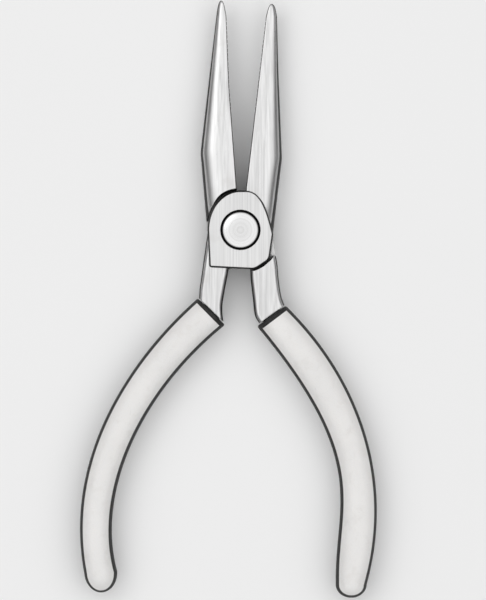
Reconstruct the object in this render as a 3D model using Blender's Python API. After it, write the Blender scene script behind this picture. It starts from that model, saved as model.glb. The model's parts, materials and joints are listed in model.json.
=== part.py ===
"""Needle nose pliers, lying on their back.

Two forged halves cross at a lap joint and turn on one rivet. The front half has the right
jaw and the left handle, and the rear half has the left jaw and the right handle. Each
handle is a bare shank that narrows to a tang inside a sleeve grip.

X runs across the jaws, +Y towards the jaw tips and +Z to the front of the tool. The origin
is on the pivot axis, in the plane of the rear face that the tool lies on. The driving
dimensions are in millimetres, and points on outlines are (x, y).
"""
import math

import bmesh
import bpy
from mathutils import Matrix, Vector

MM = 0.001

# Thickness, measured along Z about the parting plane
HUB_THICKNESS = 10.0
PARTING_HEIGHT = HUB_THICKNESS / 2
LAP_GAP = 0.2
LAND_RISE = 0.6
FORGING_THICKNESS = HUB_THICKNESS - 2 * LAND_RISE
NOSE_THICKNESS = 2.9
TIP_THICKNESS = 2.4
JAW_ROOT_THICKNESS = 8.0
SHANK_END_THICKNESS = 7.0

# Hub boss: the raised land that laps over the other half. The front one is drawn here,
# and the rear one is its mirror image.
CROWN_HEIGHT = 10.37
CROWN_HALF_WIDTH = 8.6
CROWN_SHOULDER = [(8.63, -1.07), (6.99, 5.9), (5.24, CROWN_HEIGHT), (1.55, CROWN_HEIGHT)]
FOOT_CORNERS = [(-8.15, -9.81), (3.8, -10.4), (7.64, -7.9)]
FOOT_CORNER_REACH = [0.4, 0.8, 1.0]
LAND_EDGE_CHAMFER = 0.3
BOSS_PROUD = 0.15
BOSS_OVERLAP = 1.0
CROWN_STEPS = 9
SHOULDER_STEPS = 8

# Pivot
SHANK_RADIUS = 3.0
BORE_RADIUS = 3.08
HEAD_RADIUS = 5.0
HEAD_UNDERSIDE = 8.5
HEAD_RIM_HEIGHT = 9.9
HEAD_DOME = 0.9
DOME_TURNS = [0.0, 12.0, 25.0, 40.0, 56.0, 72.0, 86.0]
TAIL_RADIUS = 4.5
TAIL_THICKNESS = 1.2
TAIL_CHAMFER = 0.3
SEAT_GAP = 0.1
TURNED_SEGMENTS = 48

# Travel of the rear half from the pose that is modelled, in degrees
CLOSING_TURN = -10.5
OPENING_TURN = 27.0
SWEEP_CLEARANCE = 0.2
SWEEP_STEPS = 120
SWEEP_TURNS_PER_DEGREE = 2
SWEEP_OPEN_RADIUS = 14.0
# Spans in which the front half sweeps the rear half's side clean away, in degrees
SWEEP_OPEN_SPANS = [(-36.0, 60.0), (166.0, 240.0)]

# Jaws: each edge runs from the nose, where the tip starts to round over, down into the hub
LEFT_JAW = {
    "tip": (-5.18, 61.5),
    "inner": [(-3.75, 57.25), (-3.05, 39.1), (-1.1, 12.2), (-0.1, -3.0)],
    "outer": [(-6.47, 57.25), (-10.7, 20.8), (-8.93, 0.0), (-8.45, -3.0)],
}
RIGHT_JAW = {
    "tip": (8.43, 60.6),
    "inner": [(6.86, 57.25), (1.63, 12.2), (0.1, -3.0)],
    "outer": [(9.8, 57.25), (10.18, 42.25), (11.14, 19.2), (8.59, -2.1), (8.45, -3.0)],
}
TIP_STATIONS = [0.985, 0.93, 0.8, 0.5, 0.25]
TIP_TAPER = 0.5
TIP_BLUNTNESS = 6
JAW_STATIONS = [57.25, 50.0, 42.25, 39.1, 30.0, 20.8, 19.2, 12.0, 5.0, -3.0]
JAW_THICKNESS = [
    (57.25, NOSE_THICKNESS),
    (20.0, JAW_ROOT_THICKNESS),
    (11.0, FORGING_THICKNESS),
]
# The back's corners, as shares of the jaw's width and of half its thickness
JAW_BACK_ROUNDING = (0.6, 0.9)
JAW_FACE_CHAMFER = 0.25
WIDEST_FACE_CHAMFER = 0.2

# Teeth across the gripping faces
TOOTH_PITCH = 1.2
TOOTH_DEPTH = 0.25
TOOTH_COUNT = 21
FIRST_TOOTH_HEIGHT = 56.0

# Shanks: each edge runs from inside the hub down towards the grip's mouth
LEFT_SHANK = {
    "outer": [(-8.5, 1.0), (-9.3, -4.2), (-9.9, -8.3), (-10.4, -12.0), (-10.9, -15.5)],
    "inner": [(0.5, -4.0), (-2.7, -9.4), (-3.5, -12.6), (-4.2, -16.2), (-4.85, -20.6)],
}
RIGHT_SHANK = {
    "outer": [(8.5, 1.0), (9.2, -5.0), (9.9, -9.2), (10.3, -13.6), (10.95, -17.7)],
    "inner": [(-0.5, -4.0), (2.3, -9.6), (2.75, -13.5), (3.3, -18.3), (3.83, -22.7)],
}
SHANK_ROUNDING = 1.6

# Grips: each edge is a curve from the mouth to where the closed end starts to round over
LEFT_GRIP = {
    "outer": [(-11.34, -18.38), (-29.68, -34.44), (-47.67, -61.27), (-41.72, -92.0)],
    "inner": [(-4.23, -25.3), (-27.2, -44.0), (-38.8, -70.6), (-33.15, -91.4)],
    "end_reach": 5.4,
}
RIGHT_GRIP = {
    "outer": [(12.03, -20.31), (31.96, -39.66), (41.56, -66.8), (33.71, -94.97)],
    "inner": [(4.53, -25.7), (20.34, -44.62), (33.06, -65.3), (25.22, -74.81), (25.67, -94.97)],
    "end_reach": 3.55,
}
GRIP_THICKNESS = HUB_THICKNESS
GRIP_ROUNDING = 0.88
GRIP_STATIONS = 14
GRIP_RIM = 0.5
# The rim's rounding: how far in, and how far from the mouth, as shares of its radius
RIM_STEPS = [(0.0, 1.0), (0.3, 0.3), (1.0, 0.0)]
END_TURNS = [20.0, 40.0, 58.0, 74.0, 86.0]

# Tangs, inside the grips
MOUTH_GAP = 0.3
SHOULDER_INSET = {"inner": 0.8, "outer": 0.1}
TANG_WIDTH = [5.6, 4.4]
TANG_THICKNESS = [5.4, 4.4]
TANG_ROUNDING = 1.0
TANG_END = 0.8
TANG_STATIONS = 10
TANG_CLEARANCE = 0.3
POCKET_END = 0.812

CORNER_STEPS = 4
SHARP_EDGE = math.radians(32.0)
NEARLY_PARALLEL = 1e-9


# ---------------------------------------------------------------- points and curves


def blend(start, end, share):
    """The value a share of the way from start to end."""
    return start + (end - start) * share


def bezier(control_points, share):
    """The point at a share of a Bezier curve of any degree."""
    points = [Vector(point) for point in control_points]
    while len(points) > 1:
        points = [a.lerp(b, share) for a, b in zip(points, points[1:])]
    return points[0]


def soft_corner(before, corner, after, reach):
    """A corner rounded off from a distance of reach along both its sides."""
    start = corner + (before - corner).normalized() * reach
    end = corner + (after - corner).normalized() * reach
    return [bezier([start, corner, end], step / CORNER_STEPS) for step in range(CORNER_STEPS + 1)]


def across(profile, height):
    """The x of a jaw's edge at a height."""
    for (x_above, above), (x_below, below) in zip(profile, profile[1:]):
        if height >= below:
            return blend(x_above, x_below, (above - height) / (above - below))
    return profile[-1][0]


def thickness_at(height):
    """A jaw's thickness at a height."""
    for (above, thick_above), (below, thick_below) in zip(JAW_THICKNESS, JAW_THICKNESS[1:]):
        if height >= below:
            return blend(thick_above, thick_below, (above - height) / (above - below))
    return FORGING_THICKNESS


# ---------------------------------------------------------------- meshes


def new_object(name, mesh_builder):
    """A scene object holding the builder's faces, turned outwards and scaled to metres."""
    bmesh.ops.recalc_face_normals(mesh_builder, faces=mesh_builder.faces)
    bmesh.ops.transform(mesh_builder, matrix=Matrix.Scale(MM, 4), verts=mesh_builder.verts)
    mesh = bpy.data.meshes.new(name)
    mesh_builder.to_mesh(mesh)
    mesh_builder.free()
    mesh.shade_smooth()
    mesh.set_sharp_from_angle(angle=SHARP_EDGE)
    item = bpy.data.objects.new(name, mesh)
    bpy.context.collection.objects.link(item)
    return item


def skin(mesh_builder, rings):
    """Cover a row of rings that have equally many points, and cap both ends."""
    rows = [[mesh_builder.verts.new(point) for point in ring] for ring in rings]
    count = len(rows[0])
    for lower, upper in zip(rows, rows[1:]):
        for index in range(count):
            following = (index + 1) % count
            mesh_builder.faces.new((lower[index], lower[following], upper[following], upper[index]))
    mesh_builder.faces.new(rows[0])
    mesh_builder.faces.new(rows[-1])


def skinned(name, rings):
    """An object that is one skinned row of rings."""
    mesh_builder = bmesh.new()
    skin(mesh_builder, rings)
    return new_object(name, mesh_builder)


def section(inner, outer, thickness, inner_corner, outer_corner):
    """A rounded rectangle on edge, from the inner to the outer point, about the parting plane.

    Each corner is a quarter ellipse: (its reach across the section, its reach along Z).
    """
    inner = Vector(inner)
    span = Vector(outer) - inner
    width = span.length
    direction = span.normalized()
    half = thickness / 2
    corners = [
        (outer_corner, width, 1, 1, 0.0),
        (inner_corner, 0.0, -1, 1, 90.0),
        (inner_corner, 0.0, -1, -1, 180.0),
        (outer_corner, width, 1, -1, 270.0),
    ]
    ring = []
    for (reach, rise), edge, side, facing, first_angle in corners:
        for step in range(CORNER_STEPS + 1):
            angle = math.radians(first_angle + 90.0 * step / CORNER_STEPS)
            along = edge - side * reach + reach * math.cos(angle)
            height = facing * (half - rise) + rise * math.sin(angle)
            point = inner + direction * along
            ring.append(Vector((point.x, point.y, PARTING_HEIGHT + height)))
    return ring


def flat_ring(outline, height, growth=0.0):
    """An outline at a height, moved away from the pivot axis by a growth."""
    ring = []
    for point in outline:
        grown = point + point.normalized() * growth
        ring.append(Vector((grown.x, grown.y, height)))
    return ring


def circle(radius, height):
    """A turned piece's ring about the pivot axis."""
    ring = []
    for step in range(TURNED_SEGMENTS):
        angle = math.tau * step / TURNED_SEGMENTS
        ring.append(Vector((radius * math.cos(angle), radius * math.sin(angle), height)))
    return ring


def round_cutter(name, radius, from_height, to_height):
    """A cylinder on the pivot axis."""
    return skinned(name, [circle(radius, from_height), circle(radius, to_height)])


def combine(target, other, operation):
    """Join the other object to the target, or cut it out, and leave it as a hidden guide."""
    modifier = target.modifiers.new(other.name, "BOOLEAN")
    modifier.operation = operation
    modifier.solver = "EXACT"
    modifier.object = other
    other.hide_render = True
    other.display_type = "WIRE"


# ---------------------------------------------------------------- hub


def front_boss_outline():
    """The front boss, anticlockwise from the middle of its crown."""
    crown = []
    for step in range(CROWN_STEPS):
        angle = math.radians(90.0 * step / CROWN_STEPS)
        crown.append(Vector((-CROWN_HALF_WIDTH * math.sin(angle), CROWN_HEIGHT * math.cos(angle))))
    flank_top = Vector((-CROWN_HALF_WIDTH, 0.0))
    shoulder = [bezier(CROWN_SHOULDER, step / SHOULDER_STEPS) for step in range(SHOULDER_STEPS + 1)]
    corners = [flank_top] + [Vector(corner) for corner in FOOT_CORNERS] + [shoulder[0]]
    foot = []
    for before, corner, after, reach in zip(corners, corners[1:], corners[2:], FOOT_CORNER_REACH):
        foot += soft_corner(before, corner, after, reach)
    return crown + [flank_top] + foot + shoulder


def mirrored(outline):
    """The outline's mirror image about the YZ plane, still anticlockwise."""
    return [Vector((-point.x, point.y)) for point in reversed(outline)]


def radius_at(outline, angle):
    """How far the outline is from the pivot axis in one direction."""
    ray = Vector((math.cos(angle), math.sin(angle)))
    farthest = 0.0
    for start, end in zip(outline, outline[1:] + outline[:1]):
        edge = end - start
        slant = ray.cross(edge)
        if abs(slant) < NEARLY_PARALLEL:
            continue
        share = -ray.cross(start) / slant
        if 0.0 <= share <= 1.0:
            farthest = max(farthest, start.cross(edge) / slant)
    return farthest


def swept_outline(outline, first_turn, last_turn, open_spans):
    """What the outline covers while it turns, with clearance. Open spans are cut right away."""
    margin = 180.0 / SWEEP_STEPS
    turn_count = round(last_turn - first_turn + 2 * margin) * SWEEP_TURNS_PER_DEGREE
    swept = []
    for step in range(SWEEP_STEPS):
        angle = 360.0 * step / SWEEP_STEPS
        reach = SWEEP_OPEN_RADIUS
        if not any((angle - low) % 360.0 <= high - low for low, high in open_spans):
            turns = [
                blend(first_turn - margin, last_turn + margin, index / turn_count)
                for index in range(turn_count + 1)
            ]
            reach = max(radius_at(outline, math.radians(angle - turn)) for turn in turns)
            reach += BOSS_PROUD + SWEEP_CLEARANCE
        direction = Vector((math.cos(math.radians(angle)), math.sin(math.radians(angle))))
        swept.append(direction * reach)
    return swept


def boss(name, outline, land_height, lap_height):
    """A boss from its land to just past the lap face, with the land's edge chamfered."""
    outwards = math.copysign(1.0, land_height - lap_height)
    edge_height = land_height - outwards * LAND_EDGE_CHAMFER
    past_lap = lap_height - outwards * BOSS_OVERLAP
    rings = [
        flat_ring(outline, past_lap, BOSS_PROUD),
        flat_ring(outline, edge_height, BOSS_PROUD),
        flat_ring(outline, land_height, BOSS_PROUD - LAND_EDGE_CHAMFER),
    ]
    return skinned(name, rings)


# ---------------------------------------------------------------- forged halves


def jaw_section(inner, outer, thickness):
    """A jaw's section: a flat face inside and a rounded back."""
    width = (Vector(outer) - Vector(inner)).length
    back = (JAW_BACK_ROUNDING[0] * width, JAW_BACK_ROUNDING[1] * thickness / 2)
    chamfer = min(JAW_FACE_CHAMFER, WIDEST_FACE_CHAMFER * width)
    return section(inner, outer, thickness, (chamfer, chamfer), back)


def jaw(name, shape):
    """A jaw from its rounded tip down into the hub."""
    tip = Vector(shape["tip"])
    nose_inner = Vector(shape["inner"][0])
    nose_outer = Vector(shape["outer"][0])
    middle = (nose_inner + nose_outer) / 2
    rings = []
    for station in TIP_STATIONS:
        centre = middle.lerp(tip, station)
        narrowing = (1.0 - TIP_TAPER * station) * math.sqrt(1.0 - station**TIP_BLUNTNESS)
        half_width = (nose_outer - nose_inner) / 2 * narrowing
        thickness = blend(NOSE_THICKNESS, TIP_THICKNESS, station)
        rings.append(jaw_section(centre - half_width, centre + half_width, thickness))
    for height in JAW_STATIONS:
        inner = (across(shape["inner"], height), height)
        outer = (across(shape["outer"], height), height)
        rings.append(jaw_section(inner, outer, thickness_at(height)))
    return skinned(name, rings)


def teeth(name, shape):
    """A comb of V prisms that cuts the teeth into a jaw's gripping face."""
    mesh_builder = bmesh.new()
    edge = shape["inner"]
    towards_jaw = math.copysign(1.0, shape["outer"][0][0] - edge[0][0])
    half_width = 2 * TOOTH_DEPTH
    for index in range(TOOTH_COUNT):
        height = FIRST_TOOTH_HEIGHT - index * TOOTH_PITCH
        root = Vector((across(edge, height) + towards_jaw * TOOTH_DEPTH, height))
        above = Vector((root.x - towards_jaw * 2 * TOOTH_DEPTH, height + half_width))
        below = Vector((root.x - towards_jaw * 2 * TOOTH_DEPTH, height - half_width))
        outline = [root, above, below]
        skin(mesh_builder, [flat_ring(outline, 0.0), flat_ring(outline, HUB_THICKNESS)])
    return new_object(name, mesh_builder)


def grip_section(grip, share, width, thickness, corner):
    """A section of a given width about the middle of a grip."""
    inner = bezier(grip["inner"], share)
    outer = bezier(grip["outer"], share)
    middle = (inner + outer) / 2
    half = (outer - inner).normalized() * width / 2
    return section(middle - half, middle + half, thickness, corner, corner)


def tang_sections(grip, end, clearance):
    """A tang's sections from the grip's mouth to its end, each grown by a clearance."""
    rings = []
    corner = (TANG_ROUNDING + clearance, TANG_ROUNDING + clearance)
    for station in range(TANG_STATIONS + 1):
        reached = station / TANG_STATIONS
        width = blend(*TANG_WIDTH, reached) + 2 * clearance
        thickness = blend(*TANG_THICKNESS, reached) + 2 * clearance
        share = end if station == TANG_STATIONS else TANG_END * reached
        rings.append(grip_section(grip, share, width, thickness, corner))
    return rings


def handle(name, shank, grip):
    """A shank from inside the hub to its shoulder at the grip's mouth, and the tang beyond."""
    mouth_inner = Vector(grip["inner"][0])
    mouth_outer = Vector(grip["outer"][0])
    mouth = (mouth_outer - mouth_inner).normalized()
    hubwards = Vector((-mouth.y, mouth.x))
    if hubwards.y < 0:
        hubwards = -hubwards
    shoulder_inner = mouth_inner + mouth * SHOULDER_INSET["inner"] + hubwards * MOUTH_GAP
    shoulder_outer = mouth_outer - mouth * SHOULDER_INSET["outer"] + hubwards * MOUTH_GAP
    inner_edge = shank["inner"] + [shoulder_inner]
    outer_edge = shank["outer"] + [shoulder_outer]
    corner = (SHANK_ROUNDING, SHANK_ROUNDING)
    rings = []
    for index, (inner, outer) in enumerate(zip(inner_edge, outer_edge)):
        thickness = blend(FORGING_THICKNESS, SHANK_END_THICKNESS, index / len(shank["inner"]))
        rings.append(section(inner, outer, thickness, corner, corner))
    tang = tang_sections(grip, TANG_END, 0.0)
    back_off = Vector((hubwards.x, hubwards.y, 0.0)) * MOUTH_GAP
    rings.append([point + back_off for point in tang[0]])
    return skinned(name, rings + tang[1:])


def forged_half(name, jaw_shape, shank, grip, boss_outline, lap_cut):
    """One half: a jaw, a boss and a handle in one piece, cut to let the other half turn."""
    facing = lap_cut["facing"]
    land_height = PARTING_HEIGHT + facing * HUB_THICKNESS / 2
    lap_height = PARTING_HEIGHT + facing * LAP_GAP / 2
    beyond = PARTING_HEIGHT - facing * HUB_THICKNESS
    half = jaw(name, jaw_shape)
    combine(half, handle(name + "_handle", shank, grip), "UNION")
    combine(half, boss(name + "_boss", boss_outline, land_height, lap_height), "UNION")
    swept = lap_cut["outline"]
    sweep = skinned(name + "_sweep", [flat_ring(swept, beyond), flat_ring(swept, lap_height)])
    combine(half, sweep, "DIFFERENCE")
    outside = land_height + facing * HUB_THICKNESS
    combine(half, round_cutter(name + "_bore", BORE_RADIUS, beyond, outside), "DIFFERENCE")
    seat = round_cutter(name + "_seat", lap_cut["seat_radius"], lap_cut["seat_height"], outside)
    combine(half, seat, "DIFFERENCE")
    combine(half, teeth(name + "_teeth", jaw_shape), "DIFFERENCE")
    return half


def front_half():
    """Right jaw, front boss and left handle."""
    open_spans = [(180.0 - high, 180.0 - low) for low, high in SWEEP_OPEN_SPANS]
    lap_cut = {
        "facing": 1.0,
        "outline": swept_outline(mirrored(front_boss_outline()), CLOSING_TURN, OPENING_TURN, open_spans),
        "seat_radius": HEAD_RADIUS + SEAT_GAP,
        "seat_height": HEAD_UNDERSIDE - SEAT_GAP,
    }
    return forged_half("front_half", RIGHT_JAW, LEFT_SHANK, LEFT_GRIP, front_boss_outline(), lap_cut)


def rear_half():
    """Left jaw, rear boss and right handle."""
    lap_cut = {
        "facing": -1.0,
        "outline": swept_outline(front_boss_outline(), -OPENING_TURN, -CLOSING_TURN, SWEEP_OPEN_SPANS),
        "seat_radius": TAIL_RADIUS + SEAT_GAP,
        "seat_height": TAIL_THICKNESS + SEAT_GAP,
    }
    outline = mirrored(front_boss_outline())
    return forged_half("rear_half", LEFT_JAW, RIGHT_SHANK, RIGHT_GRIP, outline, lap_cut)


# ---------------------------------------------------------------- rivet and grips


def pivot_rivet():
    """A domed head, a shank through both halves and a tail formed flush with the rear land."""
    profile = [
        (TAIL_RADIUS - TAIL_CHAMFER, 0.0),
        (TAIL_RADIUS, TAIL_CHAMFER),
        (TAIL_RADIUS, TAIL_THICKNESS),
        (SHANK_RADIUS, TAIL_THICKNESS),
        (SHANK_RADIUS, HEAD_UNDERSIDE),
        (HEAD_RADIUS, HEAD_UNDERSIDE),
    ]
    for degrees in DOME_TURNS:
        angle = math.radians(degrees)
        profile.append((HEAD_RADIUS * math.cos(angle), HEAD_RIM_HEIGHT + HEAD_DOME * math.sin(angle)))
    return skinned("pivot_rivet", [circle(radius, height) for radius, height in profile])


def grip_outside(grip):
    """A grip's outer sections, from the closed end up to the mouth's rounded rim."""
    end_inner = bezier(grip["inner"], 1.0)
    end_outer = bezier(grip["outer"], 1.0)
    end_middle = (end_inner + end_outer) / 2
    end_half = (end_outer - end_inner) / 2
    endwards = Vector((end_half.y, -end_half.x)).normalized()
    if endwards.y > 0:
        endwards = -endwards
    rings = []
    for degrees in reversed(END_TURNS):
        angle = math.radians(degrees)
        centre = end_middle + endwards * grip["end_reach"] * math.sin(angle)
        half = end_half * math.cos(angle)
        thickness = GRIP_THICKNESS * math.cos(angle)
        rings.append(grip_ring(centre - half, centre + half, thickness))
    for station in range(GRIP_STATIONS, 0, -1):
        share = station / GRIP_STATIONS
        rings.append(grip_ring(bezier(grip["inner"], share), bezier(grip["outer"], share), GRIP_THICKNESS))
    length = (Vector(grip["outer"][-1]) - Vector(grip["outer"][0])).length
    for inset_share, depth_share in RIM_STEPS:
        inset = inset_share * GRIP_RIM
        share = depth_share * GRIP_RIM / length
        inner = bezier(grip["inner"], share)
        outer = bezier(grip["outer"], share)
        step_in = (outer - inner).normalized() * inset
        rings.append(grip_ring(inner + step_in, outer - step_in, GRIP_THICKNESS - 2 * inset))
    return rings


def grip_ring(inner, outer, thickness):
    """A grip's oval section, flattened a little on all four sides."""
    half_width = (Vector(outer) - Vector(inner)).length / 2
    corner = (half_width * GRIP_ROUNDING, thickness / 2 * GRIP_ROUNDING)
    return section(inner, outer, thickness, corner, corner)


def sleeve_grip(name, grip):
    """A soft sleeve: closed at its end, with a pocket that follows the tang."""
    pocket = tang_sections(grip, POCKET_END, TANG_CLEARANCE)
    return skinned(name, grip_outside(grip) + pocket)


# ---------------------------------------------------------------- materials


def material(name, colour, metallic, roughness):
    """A Principled surface."""
    made = bpy.data.materials.new(name)
    made.use_nodes = True
    surface = made.node_tree.nodes["Principled BSDF"]
    surface.inputs["Base Color"].default_value = (*colour, 1.0)
    surface.inputs["Metallic"].default_value = metallic
    surface.inputs["Roughness"].default_value = roughness
    return made


def satin_steel():
    return material("satin_steel", (0.62, 0.63, 0.64), 1.0, 0.32)


def turned_steel():
    return material("turned_steel", (0.7, 0.7, 0.71), 1.0, 0.22)


def soft_vinyl():
    return material("soft_vinyl", (0.78, 0.78, 0.76), 0.0, 0.5)


def clear_scene():
    """Remove every object that the scene starts with."""
    for item in list(bpy.data.objects):
        bpy.data.objects.remove(item, do_unlink=True)


def build():
    """Make every piece, and hang the moving ones on the pivot axis."""
    clear_scene()
    steel = satin_steel()
    vinyl = soft_vinyl()
    front = front_half()
    rear = rear_half()
    rivet = pivot_rivet()
    left = sleeve_grip("left_grip", LEFT_GRIP)
    right = sleeve_grip("right_grip", RIGHT_GRIP)
    front.data.materials.append(steel)
    rear.data.materials.append(steel)
    rivet.data.materials.append(turned_steel())
    left.data.materials.append(vinyl)
    right.data.materials.append(vinyl)
    pivot_axis = bpy.data.objects.new("pivot_axis", None)
    bpy.context.collection.objects.link(pivot_axis)
    rear.parent = pivot_axis
    right.parent = pivot_axis


build()
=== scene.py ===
"""Needle nose pliers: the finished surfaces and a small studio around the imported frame.

The tool lies on its back with its jaws towards +Y. Each CAD node is replaced by a finer
mesh of the same shape, with eased edges and a worked surface. Lengths are in millimetres
in the frame's axes, outlines are (x, y) points, and meshes are scaled to metres when made.
"""
import json
import math

import bmesh
import bpy
from mathutils import Matrix, Vector


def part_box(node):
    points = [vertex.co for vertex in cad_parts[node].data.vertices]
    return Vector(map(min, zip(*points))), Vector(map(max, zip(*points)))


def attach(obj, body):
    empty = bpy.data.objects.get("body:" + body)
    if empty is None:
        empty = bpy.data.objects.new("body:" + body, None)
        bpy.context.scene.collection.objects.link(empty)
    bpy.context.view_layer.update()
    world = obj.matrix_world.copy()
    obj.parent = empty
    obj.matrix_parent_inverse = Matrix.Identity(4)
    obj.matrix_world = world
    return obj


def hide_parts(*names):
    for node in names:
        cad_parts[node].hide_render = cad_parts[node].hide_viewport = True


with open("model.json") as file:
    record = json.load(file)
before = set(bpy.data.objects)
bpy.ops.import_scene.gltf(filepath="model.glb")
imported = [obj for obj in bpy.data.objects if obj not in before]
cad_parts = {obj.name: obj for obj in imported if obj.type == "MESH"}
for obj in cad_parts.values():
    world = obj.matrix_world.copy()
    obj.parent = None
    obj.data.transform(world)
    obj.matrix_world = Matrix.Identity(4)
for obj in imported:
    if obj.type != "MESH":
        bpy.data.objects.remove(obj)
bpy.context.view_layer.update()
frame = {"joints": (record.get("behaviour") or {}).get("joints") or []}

MM = 0.001

# Sizes and turns read from the frame
HUB_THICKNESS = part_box("front_half")[1].z / MM
GRIP_THICKNESS = (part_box("left_grip")[1].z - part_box("left_grip")[0].z) / MM
DOME_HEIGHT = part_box("pivot_rivet")[1].z / MM
HEAD_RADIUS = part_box("pivot_rivet")[1].x / MM
CLOSING_TURN, OPENING_TURN = frame["joints"][0]["range_deg"]

# Thickness, measured along Z about the parting plane
PARTING_HEIGHT = HUB_THICKNESS / 2
LAP_GAP = 0.2
LAND_RISE = 0.6
FORGING_THICKNESS = HUB_THICKNESS - 2 * LAND_RISE
JAW_THICKNESS = [(61.5, 2.4), (57.25, 2.9), (20.0, 8.0), (11.0, FORGING_THICKNESS)]
SHANK_END_THICKNESS = 7.0

# Hub boss: the front one, anticlockwise from its crown. The rear one is its mirror image.
CROWN_HEIGHT = 10.37
CROWN_HALF_WIDTH = 8.6
CROWN_SHOULDER = [(8.63, -1.07), (6.99, 5.9), (5.24, CROWN_HEIGHT), (1.55, CROWN_HEIGHT)]
FOOT_CORNERS = [(-8.15, -9.81), (3.8, -10.4), (7.64, -7.9)]
FOOT_CORNER_REACH = [0.5, 0.9, 1.2]
BOSS_PROUD = 0.15
BOSS_OVERLAP = 1.0
CROWN_STEPS = 24
SHOULDER_STEPS = 20
FOOT_CORNER_STEPS = 6

# The chamfer round each boss and seat, and how far a cutter stands past the face it cuts
CHAMFER_ACROSS = 0.42
CHAMFER_DEEP = 0.75
SEAT_CHAMFER_ACROSS = 0.7 * CHAMFER_ACROSS
SEAT_CHAMFER_PROUD = 0.02
CUTTER_PROUD = 2.0

# Pivot
RIVET_SHANK_RADIUS = 3.0
BORE_RADIUS = 3.08
HEAD_UNDERSIDE = 8.5
HEAD_RIM_HEIGHT = 9.75
DOME_RINGS = 20
DOME_LAST_TURN = 87.0
TAIL_RADIUS = 4.5
TAIL_THICKNESS = 1.2
TAIL_CHAMFER = 0.3
# Two rings on the tail's flat face, as shares of its radius
TAIL_FACE_RINGS = (0.6, 0.93)
SEAT_GAP = 0.1

# How the cut-away for the other half's boss is swept: its step and open spans are in degrees
SWEEP_STEP = 1.5
SWEEP_CLEARANCE = 0.2
SWEEP_OPEN_RADIUS = 14.0
SWEEP_OPEN_SPANS = [(-36.0, 60.0), (166.0, 240.0)]

# Jaws: each edge runs from the nose, where the tip starts to round over, down into the hub
LEFT_JAW = {
    "tip": (-5.18, 61.5),
    "inner": [(-3.75, 57.25), (-3.05, 39.1), (-1.1, 12.2), (-0.1, -3.0)],
    "outer": [(-6.47, 57.25), (-10.7, 20.8), (-8.93, 0.0), (-8.45, -3.0)],
}
RIGHT_JAW = {
    "tip": (8.43, 60.6),
    "inner": [(6.86, 57.25), (1.63, 12.2), (0.1, -3.0)],
    "outer": [(9.8, 57.25), (10.18, 42.25), (11.14, 19.2), (8.59, -2.1), (8.45, -3.0)],
}
NOSE_HEIGHT = 57.25
JAW_FOOT = -3.0
TIP_TAPER = 0.5
TIP_RINGS = 14
TIP_FIRST_RING = 0.4
# How bluntly the tip rounds over: in its width, then in its thickness
TIP_WIDTH_POWERS = (6, 0.5)
TIP_THICKNESS_POWERS = (12, 0.4)
JAW_RINGS = 76
KINK_EASE = 0.9
# Corners of a jaw's section, across it and along Z. The back's are shares of its width and
# half its thickness, and the face's are lengths, held to shares of its width and thickness.
JAW_BACK_ROUNDING = (0.6, 0.92)
JAW_FACE_CHAMFER = (0.38, 0.52)
WIDEST_FACE_CHAMFER = (0.2, 0.3)
TOOTH_PITCH = 1.2
TOOTH_DEPTH = 0.25
TOOTH_COUNT = 21
FIRST_TOOTH_HEIGHT = 56.0

# Shanks: each edge runs from inside the hub down to its shoulder at the grip's mouth
LEFT_SHANK = {
    "outer": [(-8.5, 1.0), (-9.3, -4.2), (-9.9, -8.3), (-10.4, -12.0), (-10.9, -15.5)],
    "inner": [(0.5, -4.0), (-2.7, -9.4), (-3.5, -12.6), (-4.2, -16.2), (-4.85, -20.6)],
}
RIGHT_SHANK = {
    "outer": [(8.5, 1.0), (9.2, -5.0), (9.9, -9.2), (10.3, -13.6), (10.95, -17.7)],
    "inner": [(-0.5, -4.0), (2.3, -9.6), (2.75, -13.5), (3.3, -18.3), (3.83, -22.7)],
}
SHANK_ROUNDING = 1.6
SHANK_RINGS = 8

# Grips: each edge is a curve from the mouth to where the closed end starts to round over
LEFT_GRIP = {
    "outer": [(-11.34, -18.38), (-29.68, -34.44), (-47.67, -61.27), (-41.72, -92.0)],
    "inner": [(-4.23, -25.3), (-27.2, -44.0), (-38.8, -70.6), (-33.15, -91.4)],
    "end_reach": 5.4,
}
RIGHT_GRIP = {
    "outer": [(12.03, -20.31), (31.96, -39.66), (41.56, -66.8), (33.71, -94.97)],
    "inner": [(4.53, -25.7), (20.34, -44.62), (33.06, -65.3), (25.22, -74.81), (25.67, -94.97)],
    "end_reach": 3.55,
}
GRIP_ROUNDING = 0.9
SEAM_HEIGHT = 0.12
SEAM_HALF_WIDTH = 0.22
GRIP_RINGS = 72
GRIP_END_RINGS = 14
GRIP_END_LAST_TURN = 89.0
GRIP_RIM = 0.5
RIM_RINGS = 5
MOUTH_GAP = 0.3
SHOULDER_INSET = {"inner": 0.8, "outer": 0.1}
TANG_WIDTH = (5.6, 4.4)
TANG_THICKNESS = (5.4, 4.4)
TANG_ROUNDING = 1.0
TANG_END = 0.8
TANG_RINGS = 24
TANG_CLEARANCE = 0.3
POCKET_END = 0.812
# The mesh attribute that is 1 on a grip's mouth and inside it, and 0 on its outside: the vinyl paints
# shade where it is 1
MOUTH_SHADE_ATTRIBUTE = "mouth_shade"

CORNER_STEPS = 10
TURNED_SEGMENTS = 128
SHARP_EDGE = math.radians(20.0)
SLIVER = 0.002
NEARLY_PARALLEL = 1e-9


# ---------------------------------------------------------------- points and curves


def blend(start, end, share):
    """The value a share of the way from start to end."""
    return start + (end - start) * share


def bezier(control_points, share):
    """The point at a share of a Bezier curve of any degree."""
    points = [Vector(point) for point in control_points]
    while len(points) > 1:
        points = [a.lerp(b, share) for a, b in zip(points, points[1:])]
    return points[0]


def soft_corner(before, corner, after, reach, steps):
    """A corner rounded off from a distance of reach along both its sides."""
    start = corner + (before - corner).normalized() * reach
    end = corner + (after - corner).normalized() * reach
    return [bezier([start, corner, end], step / steps) for step in range(steps + 1)]


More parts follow.
